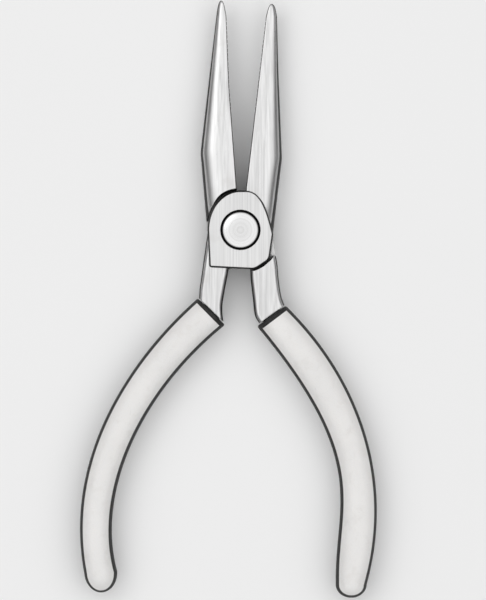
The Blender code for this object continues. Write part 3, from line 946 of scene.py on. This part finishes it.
def bench_paper(name):
    """The studio's plain pale floor, which fades into the backdrop far away."""
    made = Nodes(name)
    fibre = made.noise(900.0, 4.0)
    cloud = made.noise(6.0)
    made.set(Base_Color=made.mix(made.math("MULTIPLY", cloud, 0.5), grey(0.88), grey(0.84)))
    made.set(Roughness=0.75)
    made.set(Specular_IOR_Level=0.2)
    made.set(Normal=made.bump(fibre, FIBRE_RELIEF, 0.3))
    distance = made.add("ShaderNodeVectorMath", {0: made.place}, operation="LENGTH").outputs["Value"]
    glow = made.add("ShaderNodeEmission", {"Strength": BACKDROP_GLOW})
    far = made.between(distance, *FLOOR_FADE)
    shaders = {0: far, 1: made.surface.outputs[0], 2: glow.outputs[0]}
    blended = made.add("ShaderNodeMixShader", shaders)
    made.feed(made.tree.nodes["Material Output"].inputs["Surface"], blended.outputs[0])
    return made.material


# ---------------------------------------------------------------- studio

# What the picture shows at the parting plane, in millimetres. All else here is in metres.
VIEW_CENTRE = (0.69, -18.72)
VIEW_HEIGHT = 160.8
CAMERA_HEIGHT = 1.3
CAMERA_REACH = (0.01, 20.0)
SENSOR_SIZE = 36.0
FLOOR_SIZE = 6.0
SOFTBOX_PLACE = (-0.55, 0.45, 0.9)
SOFTBOX_TARGET = (0.0, -0.02, 0.0)
SOFTBOX_SIZE = (0.7, 0.5)
SOFTBOX_WATTS = 0.8
# The sky's brightness against the sine of its elevation
SKY_GLOW = [(0.0, 0.12), (0.3, 0.15), (0.55, 0.75), (0.8, 1.32), (0.93, 1.22), (1.0, 1.08)]


def add_floor():
    """A wide flat floor under the tool."""
    mesh_builder = bmesh.new()
    bmesh.ops.create_grid(mesh_builder, x_segments=8, y_segments=8, size=FLOOR_SIZE / 2)
    mesh = bpy.data.meshes.new("floor")
    mesh_builder.to_mesh(mesh)
    mesh_builder.free()
    floor = link(bpy.data.objects.new("floor", mesh))
    floor.data.materials.append(bench_paper("bench_paper"))


def add_camera():
    """A long lens straight above the tool, with the jaws at the top of the picture."""
    camera_data = bpy.data.cameras.new("camera")
    camera_data.sensor_width = SENSOR_SIZE
    camera_data.lens = SENSOR_SIZE * CAMERA_HEIGHT / (VIEW_HEIGHT * MM)
    camera_data.clip_start, camera_data.clip_end = CAMERA_REACH
    camera = link(bpy.data.objects.new("camera", camera_data))
    camera.location = Vector((*VIEW_CENTRE, PARTING_HEIGHT)) * MM + Vector((0, 0, CAMERA_HEIGHT))
    bpy.context.scene.camera = camera


def add_light():
    """A large soft light high on the left."""
    light_data = bpy.data.lights.new("softbox", "AREA")
    light_data.shape = "RECTANGLE"
    light_data.size, light_data.size_y = SOFTBOX_SIZE
    light_data.energy = SOFTBOX_WATTS
    softbox = link(bpy.data.objects.new("softbox", light_data))
    softbox.location = SOFTBOX_PLACE
    aim = Vector(SOFTBOX_TARGET) - softbox.location
    softbox.rotation_euler = aim.to_track_quat("-Z", "Y").to_euler()


def add_sky():
    """A bright ring overhead and a dark horizon, so that edges and upright sides read dark."""
    world = bpy.data.worlds.new("studio")
    bpy.context.scene.world = world
    world.use_nodes = True
    nodes, links = world.node_tree.nodes, world.node_tree.links
    nodes.clear()
    place = nodes.new("ShaderNodeTexCoord")
    height = nodes.new("ShaderNodeSeparateXYZ")
    links.new(place.outputs["Generated"], height.inputs[0])
    glow = nodes.new("ShaderNodeFloatCurve")
    curve = glow.mapping.curves[0]
    brightest = max(level for _, level in SKY_GLOW)
    curve.points[0].location = (SKY_GLOW[0][0], SKY_GLOW[0][1] / brightest)
    curve.points[1].location = (SKY_GLOW[-1][0], SKY_GLOW[-1][1] / brightest)
    for sine, level in SKY_GLOW[1:-1]:
        curve.points.new(sine, level / brightest)
    glow.mapping.update()
    links.new(height.outputs["Z"], glow.inputs["Value"])
    scaled = nodes.new("ShaderNodeMath")
    scaled.operation = "MULTIPLY"
    scaled.inputs[1].default_value = brightest
    links.new(glow.outputs[0], scaled.inputs[0])
    path = nodes.new("ShaderNodeLightPath")
    seen = nodes.new("ShaderNodeMix")
    links.new(path.outputs["Is Camera Ray"], seen.inputs[0])
    links.new(scaled.outputs[0], seen.inputs[2])
    seen.inputs[3].default_value = BACKDROP_GLOW
    background = nodes.new("ShaderNodeBackground")
    background.inputs["Color"].default_value = grey(1.0)
    links.new(seen.outputs[0], background.inputs["Strength"])
    output = nodes.new("ShaderNodeOutputWorld")
    links.new(background.outputs[0], output.inputs["Surface"])


# ---------------------------------------------------------------- assembly


def finish_piece(piece, node, body, material):
    """Give a piece its surface, hang it on its body and let it stand for its CAD node."""
    piece.data.materials.clear()
    piece.data.materials.append(material)
    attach(piece, body)
    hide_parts(node)


def build():
    """Make every piece and the studio round it."""
    steel = forged_steel("forged_steel")
    vinyl = soft_vinyl("vinyl")
    finish_piece(front_half(), "front_half", "front", steel)
    finish_piece(rear_half(), "rear_half", "rear", steel)
    finish_piece(pivot_rivet(), "pivot_rivet", "front", turned_steel("turned_steel"))
    finish_piece(sleeve_grip("left_sleeve", LEFT_GRIP), "left_grip", "front", vinyl)
    finish_piece(sleeve_grip("right_sleeve", RIGHT_GRIP), "right_grip", "rear", vinyl)
    add_floor()
    add_camera()
    add_light()
    add_sky()
    bpy.context.scene.view_settings.view_transform = "Standard"


build()
